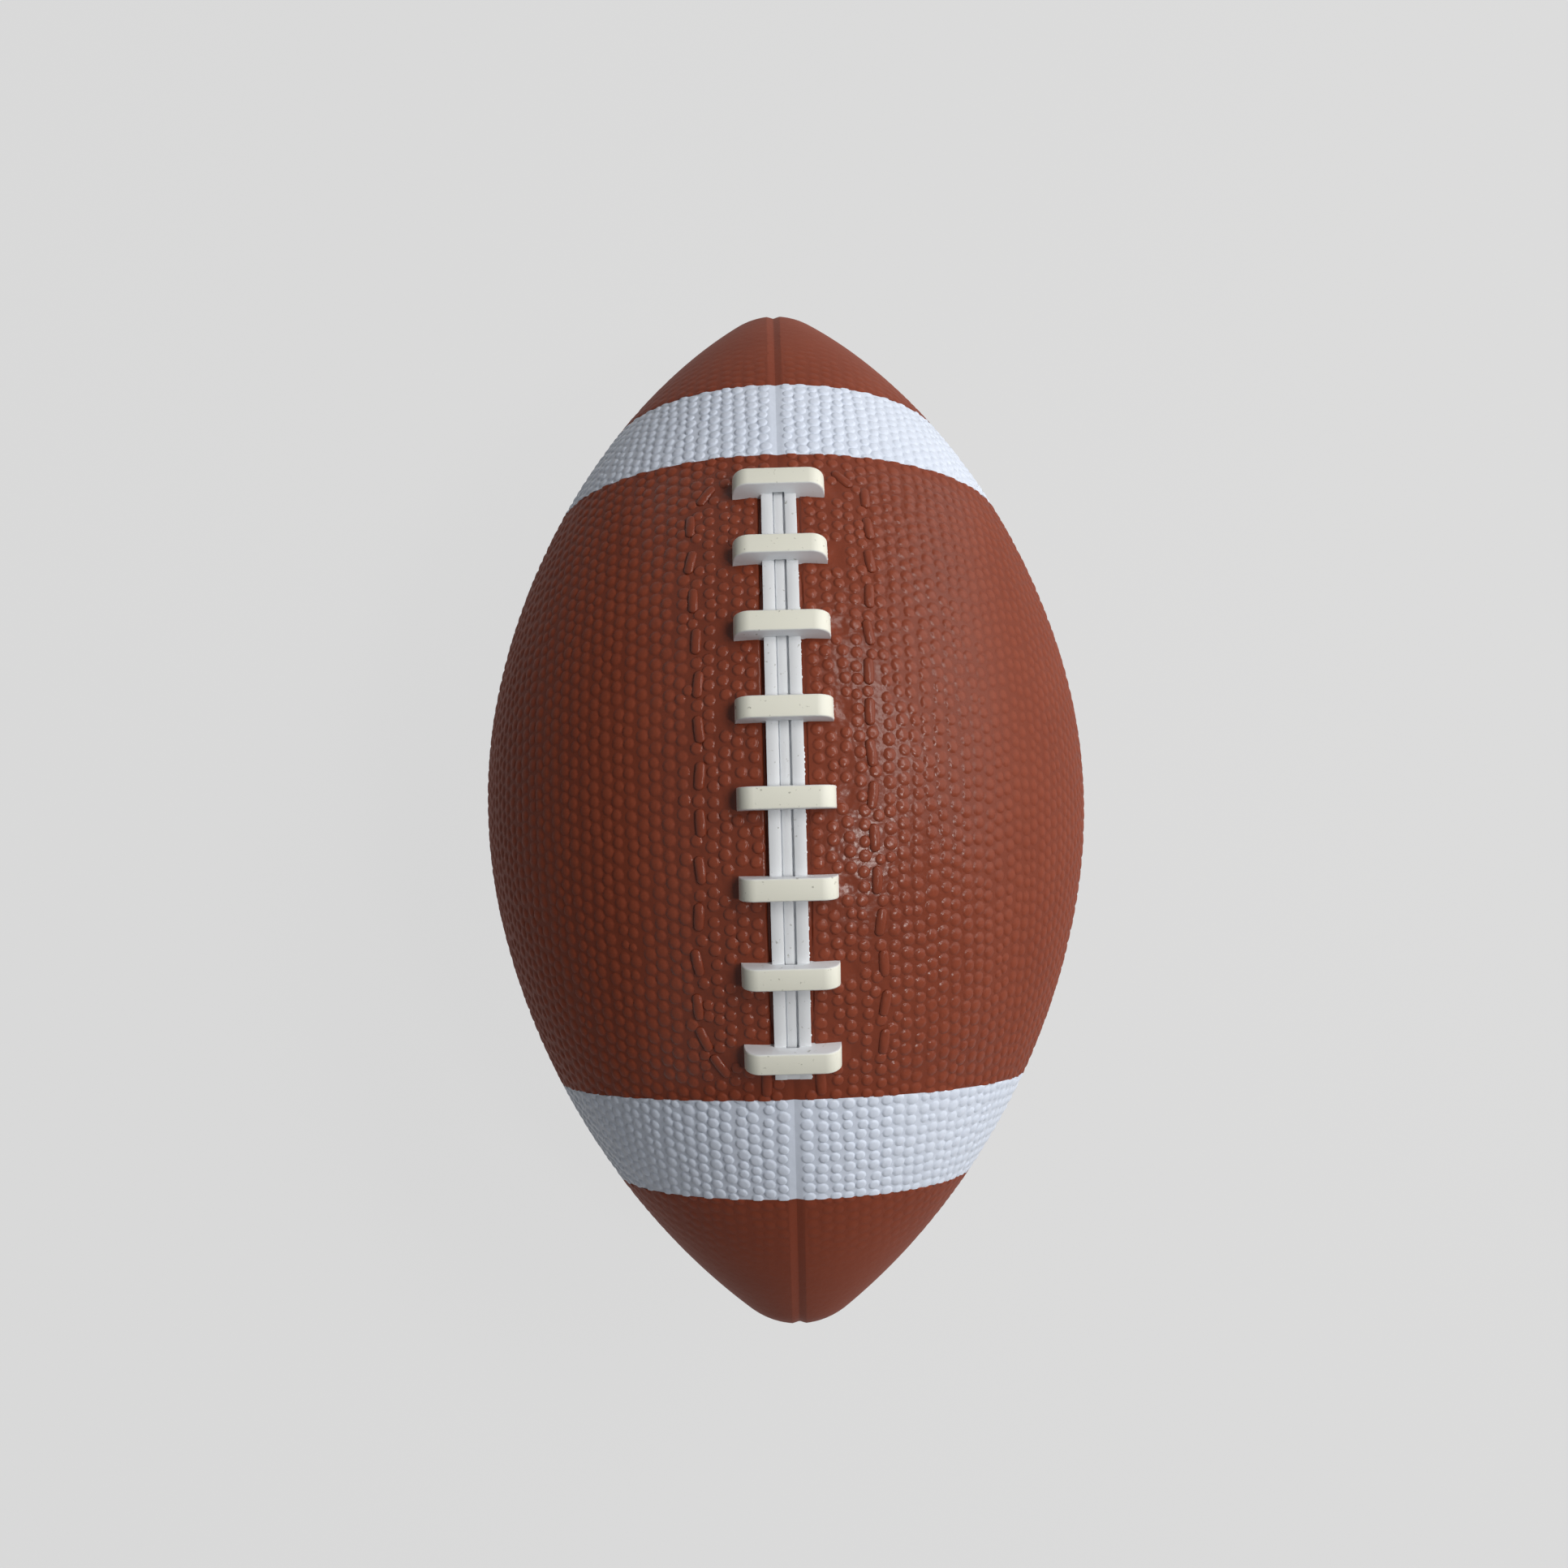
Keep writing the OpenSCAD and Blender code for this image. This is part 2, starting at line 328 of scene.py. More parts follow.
def pebble_places(seed, side, upper, rows, fields):
    """Pebbles of one piece: place along, place across, and both ends of their field."""
    draw = np.random.default_rng(seed)
    start, spacing, pitch, brick, stagger, jitter = rows
    columns = np.arange(start, COLUMNS_END, spacing)
    found = []
    for low, high in fields:
        lines = np.arange(low - 2 * pitch, high + pitch, pitch)
        across, along = np.meshgrid(columns, lines, indexing="ij")
        shift = brick * (np.arange(len(columns)) % 2) + draw.uniform(0, stagger, len(columns))
        along = along + pitch * shift[:, None]
        wave = np.sin(along / WAVE_LEN + draw.uniform(0, 2 * math.pi, (len(columns), 1)))
        along = (along + draw.uniform(-jitter, jitter, along.shape) * pitch).ravel()
        stray = draw.uniform(-jitter, jitter, across.shape)
        across = (across + (stray + WAVE_SHARE * wave) * spacing).ravel()
        radius = cover_at(along)[0]
        kept = (along > low - OVERHANG) & (along < high + OVERHANG)
        kept &= across < QUARTER * radius - SEAM_GAP
        if upper:
            kept &= clear_of_stitches(along, side * across) & clear_of_lace(along, across)
        else:
            kept &= np.hypot(along, across) > VALVE_PAD_R + VALVE_GAP
        ends = np.tile([low, high], (np.count_nonzero(kept), 1))
        found.append(np.column_stack([along[kept], across[kept], ends]))
    return np.concatenate(found)


def fill_gaps(places, side, seed):
    """Adds small pebbles where the stitches, bars and eyelets have left bare ground beside the lace."""
    low, high = places[0, 2:]
    rows = np.arange(low + FILL_MARGIN, high - FILL_MARGIN, FILL_STEP)
    columns = np.arange(SPINE_W / 2, FILL_REACH, FILL_STEP)
    along, across = (places_on.ravel() for places_on in np.meshgrid(rows, columns))
    clear = clear_of_stitches(along, side * across) & clear_of_lace(along, across) & (across > SEAM_GAP)
    spots = np.stack([along, across], -1)[clear]
    for spot in np.random.default_rng(seed).permutation(spots):
        if np.hypot(*(places[:, :2] - spot).T).min() > FILL_GAP:
            places = np.vstack([places, [*spot, low, high]])
    return places


def kept_mesh(form, name):
    """Mesh of a bmesh, which is freed."""
    mesh = bpy.data.meshes.new(name)
    form.to_mesh(mesh)
    form.free()
    return mesh


def mesh_points(mesh):
    """Vertices of a mesh, as an array of points."""
    co = np.empty(len(mesh.vertices) * 3)
    mesh.vertices.foreach_get("co", co)
    return co.reshape(-1, 3)


def spun_form(profile, segments):
    """Small closed form: a profile of (radius, height) spun about its own axis, with its foot closed."""
    form = bmesh.new()
    verts = [form.verts.new((r, 0, h)) for r, h in profile]
    edges = [form.edges.new(pair) for pair in zip(verts, verts[1:])]
    bmesh.ops.spin(form, geom=verts + edges, cent=(0, 0, 0), axis=(0, 0, 1), angle=2 * math.pi,
                   steps=segments, use_merge=True)
    bmesh.ops.remove_doubles(form, verts=form.verts, dist=1e-4)
    bmesh.ops.holes_fill(form, edges=[e for e in form.edges if e.is_boundary])
    bmesh.ops.recalc_face_normals(form, faces=form.faces)
    for face in form.faces:
        face.smooth = len(face.verts) < 5
    return form


def stitch_form():
    """Raised stitch: a flat capsule along the ball."""
    form = bmesh.new()
    bmesh.ops.create_uvsphere(form, u_segments=12, v_segments=8, radius=STITCH_HALF_W,
                              matrix=Matrix.Rotation(QUARTER, 4, "X"))
    reach = STITCH_LEN / 2 - STITCH_HALF_W
    for vert in form.verts:
        if abs(vert.co.y) > 0.01:
            vert.co.y += math.copysign(reach, vert.co.y)
    bmesh.ops.scale(form, vec=(1, 1, STITCH_H / STITCH_HALF_W), verts=form.verts)
    for face in form.faces:
        face.smooth = True
    return form


# Pebbles in unit sizes: height 0 is the ground round them, and the rim is sunk in it
BUTTON = [(0.0, 1.0), (0.56, 0.93), (0.8, 0.71), (0.93, 0.3), (1.02, 0.04), (1.12, -0.08)]
PILLOW = [(0.0, 1.0), (0.52, 0.9), (0.8, 0.54), (0.98, 0.1), (1.12, -0.07)]
LOW_PILLOW = [(0.0, 1.0), (0.55, 0.8), (0.9, 0.26), (1.12, -0.07)]
PEBBLE_FINE = kept_mesh(spun_form(BUTTON, 12), "pebble_fine")
PEBBLE_PLAIN = kept_mesh(spun_form(PILLOW, 10), "pebble_plain")
PEBBLE_COARSE = kept_mesh(spun_form(LOW_PILLOW, 8), "pebble_coarse")
STITCH = kept_mesh(stitch_form(), "stitch")
# Distances from the seam up to which pebbles are fine ones, and past which they are coarse ones
FINE_TO = 24.0
COARSE_FROM = 60.0
# Greatest radius of a pebble beside the lace and out in the field, and between which distances it grows
PEBBLE_R = 1.5
FIELD_PEBBLE_R = 1.7
GROWS_FROM = 16.0
GROWS_TO = 26.0
# Radius as a share of the distance to the nearest pebble, the least one, and how sizes and heights vary
NEIGHBOUR_SHARE = 0.53
LEAST_PEBBLE_R = 0.95
SIZE_SHARES = (0.92, 1.0)
HEIGHT_SHARES = (0.82, 0.98)


def pebble_copies(places, seam, side, seed):
    """Placed points of every pebble, as pairs of a form and its copies' points."""
    along, across, low, high = places.T
    around = seam + side * turn_of(along, across)
    level = on_cover(along, around)
    tree = kdtree.KDTree(len(level))
    for i, point in enumerate(level):
        tree.insert(point, i)
    tree.balance()
    nearest = np.array([tree.find_n(point, 2)[1][2] for point in level])
    draw = np.random.default_rng(seed)
    field = np.maximum(smooth_step(GROWS_FROM, GROWS_TO, across), np.abs(along) > STRIPE_NEAR)
    widest = PEBBLE_R + (FIELD_PEBBLE_R - PEBBLE_R) * field
    reach = np.clip(NEIGHBOUR_SHARE * nearest, LEAST_PEBBLE_R, widest)
    reach = reach * draw.uniform(*SIZE_SHARES, len(along))
    lift = grain_depth(level, along) * draw.uniform(*HEIGHT_SHARES, len(along))
    axes = cover_axes(along, around)
    radius, _, slope = cover_at(along)
    bend = np.cos(slope) / (2 * radius)
    fine = across < FINE_TO
    coarse = (across > COARSE_FROM) | (seam != 0) | (np.abs(along) > STRIPE_FAR)
    kinds = ((PEBBLE_FINE, fine & ~coarse), (PEBBLE_PLAIN, ~fine & ~coarse), (PEBBLE_COARSE, coarse))
    copies = []
    for form, chosen in kinds:
        unit = mesh_points(form)
        sideways, forward, out = (axis[chosen, None, :] for axis in axes)
        start = along[chosen, None]
        aside = reach[chosen, None] * unit[:, 0]
        ahead = reach[chosen, None] * unit[:, 1]
        ahead = np.clip(ahead, low[chosen, None] - start, high[chosen, None] - start)
        drop = bend[chosen, None] * aside ** 2 + ahead ** 2 / (2 * BELLY_ARC_R)
        points = level[chosen, None, :] + aside[..., None] * sideways
        points = points + ahead[..., None] * forward - drop[..., None] * out
        ground = grain_depth(points.reshape(-1, 3), (start + ahead).ravel()).reshape(ahead.shape)
        height = lift[chosen, None] * unit[:, 2] - ground
        copies.append((form, points + height[..., None] * out))
    return copies


def stitch_copies(side):
    """Placed points of the stitches on one side of the lace."""
    along, across, slant = STITCHES[np.sign(STITCHES[:, 1]) == side].T
    around = turn_of(along, across)
    sideways, forward, out = (axis[:, None, :] for axis in cover_axes(along, around))
    level = on_cover(along, around)
    sunk = grain_depth(level, along) - STITCH_LIFT
    lean = np.radians(slant)
    unit = mesh_points(STITCH)
    ahead = unit[:, 1] * np.cos(lean)[:, None] - unit[:, 0] * np.sin(lean)[:, None]
    aside = unit[:, 1] * np.sin(lean)[:, None] + unit[:, 0] * np.cos(lean)[:, None]
    height = unit[:, 2] - sunk[:, None]
    points = level[:, None, :] + aside[..., None] * sideways
    points = points + ahead[..., None] * forward + height[..., None] * out
    return [(STITCH, points)]


def spread(low, high, pitch):
    """Even places from low to high, about a pitch apart."""
    return np.linspace(low, high, max(2, int(round(abs(high - low) / pitch)) + 1))


def surface_row(along, depth=0.0):
    """Line of (radius, place) at a depth below the cover's outline."""
    radius, place, slope = cover_at(along)
    r = np.maximum(radius - depth * np.cos(slope), 0.0)
    return list(zip(r, place - depth * np.sin(slope)))


def spun_grid(rows, turns, start):
    """Grid spun about the long axis from rows of (radius, place); returns its bmesh."""
    grid = bmesh.new()
    geom = []
    for row in rows:
        verts = [grid.verts.new((r * math.sin(start) * MM, y * MM, r * math.cos(start) * MM)) for r, y in row]
        geom += [grid.edges.new(pair) for pair in zip(verts, verts[1:])]
    for angle, steps in turns:
        made = bmesh.ops.spin(grid, geom=geom, cent=(0, 0, 0), axis=(0, 1, 0), angle=angle, steps=steps)
        geom = made["geom_last"]
    bmesh.ops.remove_doubles(grid, verts=grid.verts, dist=1e-6)
    return grid


def off_axis(point):
    """True where a point in metres lies away from the long axis."""
    return math.hypot(point.x, point.z) >= 1e-6


def cap_ends(grid, axis_gaps):
    """Closes the two flat ends of a spun grid; axis_gaps are pairs of places on the long axis."""
    on_axis = [v for v in grid.verts if not off_axis(v.co)]
    for gap in axis_gaps:
        grid.edges.new([min(on_axis, key=lambda v: abs(v.co.y - place * MM)) for place in gap])
    open_edges = [e for e in grid.edges if len(e.link_faces) < 2]
    axis_edges = [e for e in open_edges if not any(off_axis(v.co) for v in e.verts)]
    sections = {}
    for edge in open_edges:
        middle = (edge.verts[0].co + edge.verts[1].co) / 2
        if off_axis(middle):
            turn = round(math.degrees(math.atan2(middle.x, middle.z)))
            sections.setdefault(turn, []).append(edge)
    for section in sections.values():
        cap = bmesh.ops.contextual_create(grid, geom=section + axis_edges)
        for face in cap["faces"]:
            face.smooth = False


# Field beside the lace that hands have polished: distances where it fades, which lie further out on
# the right, and the length over which it fades before the stripes
POLISH_NEAR = 24.0
POLISH_FAR = 44.0
POLISH_RIGHT_SHARE = 0.65
POLISH_END = 8.0
# Share of the tops' painted light over the ground's painted shade, all over where the cover's grain has faded
EVEN_SHARE = 0.6
# Angle from which the pebbles' feet and the pieces' edges are sharp, and how near a point lies to the
# cover's outline where it belongs to the outer face
SHARP_FROM = math.radians(50)
OUTLINE_TOLERANCE = 0.02


def store_polish_and_shading(mesh, points, tops):
    """Stores where hands have polished a piece, and the share of painted light on its pebbles' tops over
    painted shade.
    """
    along = along_at(points[:, 1])
    away = np.abs(np.arctan2(points[:, 0], points[:, 2])) * np.hypot(points[:, 0], points[:, 2])
    away = away * np.where(points[:, 0] > 0, POLISH_RIGHT_SHARE, 1.0)
    polish = 1 - smooth_step(POLISH_NEAR, POLISH_FAR, away)
    polish = polish * (1 - smooth_step(STRIPE_NEAR - POLISH_END, STRIPE_NEAR, np.abs(along)))
    # Painted light on the pebbles' tops and painted shade on the ground between them, fading with the
    # relief's depth
    pebble_shading = EVEN_SHARE + (tops - EVEN_SHARE) * grain_depth(points, along) / GRAIN_DEPTH
    for name, values in (("polish", polish), ("pebble_shading", pebble_shading)):
        mesh.attributes.new(name, "FLOAT", "POINT").data.foreach_set("value", values)


def cover_piece(node, grid, material, copies, extra=None):
    """Makes the grid a moulded piece: its outer face sinks to the ground, and pebbles stand on it."""
    bmesh.ops.recalc_face_normals(grid, faces=grid.faces)
    for face in grid.faces:
        face.smooth = len(face.verts) < 5
    ground = kept_mesh(grid, node + "_ground")
    points = mesh_points(ground) / MM
    along = along_at(points[:, 1])
    outer = np.abs(np.hypot(points[:, 0], points[:, 2]) - cover_at(along)[0]) < OUTLINE_TOLERANCE
    height = np.where(outer, ground_level(points, along), 0.0)
    if extra:
        extra(points, outer, height)
    turn = np.arctan2(points[:, 0], points[:, 2])
    points = points + height[:, None] * cover_axes(along, turn)[2]

    body = bmesh.new()
    body.from_mesh(ground)
    bpy.data.meshes.remove(ground)
    placed = [points]
    # Heights of every point, from which the pebbles' tops get painted light and the ground between them
    # painted shade
    tops = [np.zeros(len(points))]
    for form, spots in copies:
        for _ in spots:
            body.from_mesh(form)
        placed.append(spots.reshape(-1, 3))
        tops.append(np.tile(np.clip(mesh_points(form)[:, 2], 0.0, 1.0), len(spots)))
    mesh = kept_mesh(body, node + "_moulded")
    points = np.concatenate(placed)
    mesh.vertices.foreach_set("co", (points * MM).ravel())
    store_polish_and_shading(mesh, points, np.concatenate(tops))
    mesh.update()
    mesh.set_sharp_from_angle(angle=SHARP_FROM)
    mesh.materials.append(material)
    show(mesh, node)


def show(mesh, node):
    """Puts a finished mesh in the scene, in place of its CAD node."""
    piece = bpy.data.objects.new(node + "_moulded", mesh)
    bpy.context.scene.collection.objects.link(piece)
    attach(piece, "root")
    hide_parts(node)


def linear(code):
    """Linear colour of an sRGB hex value."""
    parts = [int(code[i:i + 2], 16) / 255 for i in (1, 3, 5)]
    return [c / 12.92 if c <= 0.04045 else ((c + 0.055) / 1.055) ** 2.4 for c in parts] + [1.0]


def add_node(tree, kind, settings=None, inputs=None, links=None):
    """Adds a node: its settings, constants by input socket, and output sockets by input socket."""
    node = tree.nodes.new(kind)
    for key, value in (settings or {}).items():
        setattr(node, key, value)
    for key, value in (inputs or {}).items():
        node.inputs[key].default_value = value
    for key, socket in (links or {}).items():
        tree.links.new(socket, node.inputs[key])
    return node


def new_material(name):
    """Material with its node tree and its Principled shader."""
    material = bpy.data.materials.new(name)
    material.use_nodes = True
    tree = material.node_tree
    return material, tree, tree.nodes["Principled BSDF"]


RUBBER_IOR = 1.52
# Range by which a rubber's roughness varies over its fine skin
ROUGH_SPREAD = 0.16


def pebbled_rubber(name, ground, top, mottle, dull, shiny):
    """Moulded rubber: an even skin, painted shade between the pebbles and painted light on their tops, dull
    but where hands polish.
    """
    material, tree, skin = new_material(name)
    place = add_node(tree, "ShaderNodeTexCoord").outputs["Object"]
    pebble_shading = add_node(tree, "ShaderNodeAttribute", {"attribute_name": "pebble_shading"}).outputs["Fac"]
    polish = add_node(tree, "ShaderNodeAttribute", {"attribute_name": "polish"}).outputs["Fac"]

    # Colour: painted shade between the pebbles and painted light on their tops, under a faint mottle of
    # patches about 18 mm wide
    cloud = add_node(tree, "ShaderNodeTexNoise", None, {"Scale": 1 / (18 * MM), "Detail": 3.0},
                     {"Vector": place})
    # Two tones by height: painted shade on the ground between the pebbles, painted light on the pebbles' tops
    tones = add_node(tree, "ShaderNodeMix", {"data_type": "RGBA"}, {6: linear(ground), 7: linear(top)},
                     {"Factor": pebble_shading})
    tint = add_node(tree, "ShaderNodeMix", {"data_type": "RGBA", "blend_type": "MULTIPLY"},
                    {7: linear(mottle)}, {"Factor": cloud.outputs["Fac"], 6: tones.outputs[2]})
    tree.links.new(tint.outputs[2], skin.inputs["Base Color"])

    # Roughness: from the polish, varied by a skin of 0.5 mm spots
    fine = add_node(tree, "ShaderNodeTexNoise", None, {"Scale": 1 / (0.5 * MM), "Detail": 2.0},
                    {"Vector": place})
    sheen = add_node(tree, "ShaderNodeMapRange", None,
                     {"To Min": dull - ROUGH_SPREAD / 2, "To Max": shiny - ROUGH_SPREAD / 2},
                     {"Value": polish})
    rough = add_node(tree, "ShaderNodeMath", {"operation": "MULTIPLY_ADD"}, {1: ROUGH_SPREAD},
                     {0: fine.outputs["Fac"], 2: sheen.outputs["Result"]})
    tree.links.new(rough.outputs[0], skin.inputs["Roughness"])

    # Unevenness: swells 2.2 mm wide, which show most in the polish, and the spots of the skin
    waves = add_node(tree, "ShaderNodeTexNoise", None, {"Scale": 1 / (2.2 * MM), "Detail": 1.0},
                     {"Vector": place})
    share = add_node(tree, "ShaderNodeMapRange", None, {"To Min": 0.4, "To Max": 1.0}, {"Value": polish})
    swell = add_node(tree, "ShaderNodeMath", {"operation": "MULTIPLY"}, None,
                     {0: waves.outputs["Fac"], 1: share.outputs["Result"]})
    uneven = add_node(tree, "ShaderNodeBump", None, {"Strength": 1.0, "Distance": 0.24 * MM},
                      {"Height": swell.outputs[0]})
    bump = add_node(tree, "ShaderNodeBump", None, {"Strength": 0.25, "Distance": 0.05 * MM},
                    {"Height": fine.outputs["Fac"], "Normal": uneven.outputs["Normal"]})
    tree.links.new(bump.outputs["Normal"], skin.inputs["Normal"])
    skin.inputs["IOR"].default_value = RUBBER_IOR
    skin.inputs["Specular IOR Level"].default_value = 0.18
    return material


def plain_rubber(name, code, roughness):
    """Moulded rubber with no grain: a dull skin with spots of 0.8 mm in its sheen."""
    material, tree, skin = new_material(name)
    place = add_node(tree, "ShaderNodeTexCoord").outputs["Object"]
    fine = add_node(tree, "ShaderNodeTexNoise", None, {"Scale": 1 / (0.8 * MM), "Detail": 3.0},
                    {"Vector": place})
    sheen = add_node(tree, "ShaderNodeMapRange", None,
                     {"To Min": roughness - ROUGH_SPREAD / 2, "To Max": roughness + ROUGH_SPREAD / 2},
                     {"Value": fine.outputs["Fac"]})
    tree.links.new(sheen.outputs["Result"], skin.inputs["Roughness"])
    skin.inputs["Base Color"].default_value = linear(code)
    skin.inputs["IOR"].default_value = RUBBER_IOR
    return material


def moulded_vinyl(name, white, yellowed, dirt):
    """Moulded vinyl: cool white and dull, yellowed on the tops that hands rub, with 1.3 mm dirt specks."""
    material, tree, skin = new_material(name)
    place = add_node(tree, "ShaderNodeTexCoord").outputs["Object"]
    rubbed = add_node(tree, "ShaderNodeAttribute", {"attribute_name": "rubbed"}).outputs["Fac"]
    tones = add_node(tree, "ShaderNodeMix", {"data_type": "RGBA"}, {6: linear(white), 7: linear(yellowed)},
                     {"Factor": rubbed})
    specks = add_node(tree, "ShaderNodeTexNoise", None, {"Scale": 1 / (1.3 * MM), "Detail": 2.0},
                      {"Vector": place})
    soil = add_node(tree, "ShaderNodeMapRange", None, {"From Min": 0.68, "From Max": 0.76, "To Max": 0.55},
                    {"Value": specks.outputs["Fac"]})
    soiled = add_node(tree, "ShaderNodeMix", {"data_type": "RGBA"}, {7: linear(dirt)},
                      {"Factor": soil.outputs["Result"], 6: tones.outputs[2]})
    tree.links.new(soiled.outputs[2], skin.inputs["Base Color"])
    skin.inputs["Roughness"].default_value = 0.5
    skin.inputs["IOR"].default_value = 1.5
    return material


# Ground colour with painted shade between the pebbles, top colour with painted light, then mottle and
# roughness
cover_rubber = pebbled_rubber("cover_rubber_moulded", "#7d3a25", "#8d442d", "#e8dfda", 0.62, 0.22)
stripe_rubber = pebbled_rubber("stripe_rubber_moulded", "#dfe7f6", "#e2eaf9", "#f4f6f8", 0.36, 0.36)
lace_vinyl = moulded_vinyl("lace_vinyl_moulded", "#dfe3ea", "#e9e9dc", "#6d6a58")
valve_rubber = plain_rubber("valve_rubber_moulded", "#1c1c1e", 0.5)
plug_rubber = plain_rubber("plug_rubber_moulded", "#2c2c2f", 0.55)
bladder_butyl = plain_rubber("bladder_butyl_moulded", "#242426", 0.6)
winding_nylon = plain_rubber("winding_nylon_thread", "#cbbf9e", 0.7)

# Grid of the smooth ground: steps along the ball, and turns about the long axis with their steps
FIELD_PITCH = 1.2
TIP_PITCH = 1.6
POCKET_PITCH = 8.0
INNER_PITCH = 15.0
VALVE_PITCH = 0.55
VALVE_REACH = 12.0
SEAM_TURN = math.radians(2.6)
LACE_TURN = math.radians(3)
NEAR_TURN = math.radians(26)
FAR_TURN = QUARTER - NEAR_TURN - LACE_TURN - 2 * SEAM_TURN
UPPER_TURNS = [(SEAM_TURN, 5), (LACE_TURN, 12), (NEAR_TURN, 40), (FAR_TURN, 50), (SEAM_TURN, 5)]
VALVE_TURN = math.radians(8)
LOWER_TURNS = [(VALVE_TURN, 20), (QUARTER - VALVE_TURN - SEAM_TURN, 70), (SEAM_TURN, 5)]

# Pad round the valve: its level, the round lip on it, the width of its slope, and the pit for the stem
PAD_LEVEL = -0.25
LIP_H = 0.2
LIP_R = 1.4 * STEM_D / 2
LIP_W = 0.9
PAD_SLOPE = 1.5
PIT_DEPTH = 1.7


def upper_rows():
    """Sections of an upper panel: the cover's surface with its stripe pockets, and the inside."""
    outer = surface_row(spread(-NOSE_REACH, -STRIPE_FAR, TIP_PITCH))
    outer += surface_row(spread(-STRIPE_FAR, -STRIPE_NEAR, POCKET_PITCH), STRIPE_T)
    outer += surface_row(spread(-STRIPE_NEAR, STRIPE_NEAR, FIELD_PITCH))
    outer += surface_row(spread(STRIPE_NEAR, STRIPE_FAR, POCKET_PITCH), STRIPE_T)
    outer += surface_row(spread(STRIPE_FAR, NOSE_REACH, TIP_PITCH))
    return [outer, surface_row(spread(-NOSE_REACH, NOSE_REACH, INNER_PITCH), COVER_T)]


def lower_rows():
    """Sections of a lower panel: the cover's surface, finer beside the valve, and the inside."""
    outer = surface_row(spread(-NOSE_REACH, -VALVE_REACH, TIP_PITCH))
    outer += surface_row(spread(-VALVE_REACH, VALVE_REACH, VALVE_PITCH))[1:-1]
    outer += surface_row(spread(VALVE_REACH, NOSE_REACH, TIP_PITCH))
    return [outer, surface_row(spread(-NOSE_REACH, NOSE_REACH, INNER_PITCH), COVER_T)]


def panel_grid(rows, turns, seam, side):
    """Closed grid of a quarter of the cover, from its seam to one side."""
    grid = spun_grid(rows, [(side * angle, steps) for angle, steps in turns], seam)
    ends = (HALF_LEN, HALF_LEN - COVER_T)
    cap_ends(grid, [ends, (-ends[0], -ends[1])])
    return grid


def valve_pad(points, outer, height):
    """Smooth pad round the valve, with a round pit that the valve's stem fills."""
    gap = np.hypot(points[:, 0], points[:, 1])
    below = outer & (points[:, 2] < 0)
    rim = STEM_D / 2
    snapped = below & (np.abs(gap - rim) < 0.6 * VALVE_PITCH)
    points[snapped, :2] *= (rim / gap[snapped])[:, None]
    gap[snapped] = rim
    lip = np.exp(-((gap - LIP_R) / LIP_W) ** 2)
    blend = 1 - smooth_step(VALVE_PAD_R - PAD_SLOPE, VALVE_PAD_R, gap)
    level = height * (1 - blend) + (PAD_LEVEL + LIP_H * lip) * blend
    height[below] = level[below]
    height[below & (gap < rim - 0.01)] = -PIT_DEPTH


def make_upper_panel(node, seed, side):
    """Cover panel beside the lace, with its stitches."""
    places = pebble_places(seed, side, True, COVER_ROWS, [UPPER_FIELD, *TIP_FIELDS])
    places = fill_gaps(places, side, seed)
    copies = pebble_copies(places, 0.0, side, seed) + stitch_copies(side)
    grid = panel_grid(upper_rows(), UPPER_TURNS, 0.0, side)
    cover_piece(node, grid, cover_rubber, copies)


def make_lower_panel(node, seed, side):
    """Cover panel underneath, with half of the valve's pad."""
    places = pebble_places(seed, -side, False, COVER_ROWS, [LOWER_FIELD, *TIP_FIELDS])
    copies = pebble_copies(places, math.pi, -side, seed)
    grid = panel_grid(lower_rows(), LOWER_TURNS, math.pi, -side)
    cover_piece(node, grid, cover_rubber, copies, valve_pad)


def make_stripe(node, seed, side, end):
    """White stripe of one upper panel, which lies in the panel's pocket."""
    low, high = sorted((end * STRIPE_NEAR, end * STRIPE_FAR))
    outer = surface_row(spread(low, high, FIELD_PITCH))
    inner = surface_row(spread(high, low, POCKET_PITCH), STRIPE_T)
    turns = [(side * angle, steps) for angle, steps in UPPER_TURNS]
    grid = spun_grid([outer + inner + outer[:1]], turns, 0.0)
    cap_ends(grid, [])
    rows = PLAIN_STRIPE_ROWS if side > end else BRICK_STRIPE_ROWS
    places = pebble_places(seed, side, True, rows, [(low, high)])
    cover_piece(node, grid, stripe_rubber, pebble_copies(places, 0.0, side, seed))


for side_name, side in (("right", 1), ("left", -1)):
    make_upper_panel("panel_upper_" + side_name, 20 + side, side)
    make_lower_panel("panel_lower_" + side_name, 30 + side, side)
    make_stripe("stripe_head_" + side_name, 40 + side, side, 1)
    make_stripe("stripe_tail_" + side_name, 50 + side, side, -1)


# Depths to which the spine's and the bars' feet are sunk in the cover
SPINE_FOOT = 1.4
BAR_FOOT = 1.2
# Slits at the foot of the channel's walls, wider on the right
SLIT_W = 0.5
THIN_SLIT_W = 0.26
SLIT_DEPTH = 0.5
# Block that closes the channel on the spine's end tabs: height, depth below the rails, and how far it
# goes into the walls and stays back from the end
TAB_BLOCK_H = 1.2
TAB_BLOCK_DROP = 0.05
TAB_BLOCK_GRIP = 0.15
TAB_BLOCK_BACK = 0.1
# Rounding of the spine's and the bars' edges, and angles from which an edge is rounded or stays sharp
SPINE_EDGE = 0.12
BAR_EDGE = 0.4
EDGE_FROM = math.radians(40)
LACE_SHARP_FROM = math.radians(35)
# Steps of the spine on the arcs of a flank and of the belly, and of a bar's shoulder
FLANK_STEPS = 22
BELLY_STEPS = 38
SHOULDER_STEPS = 8
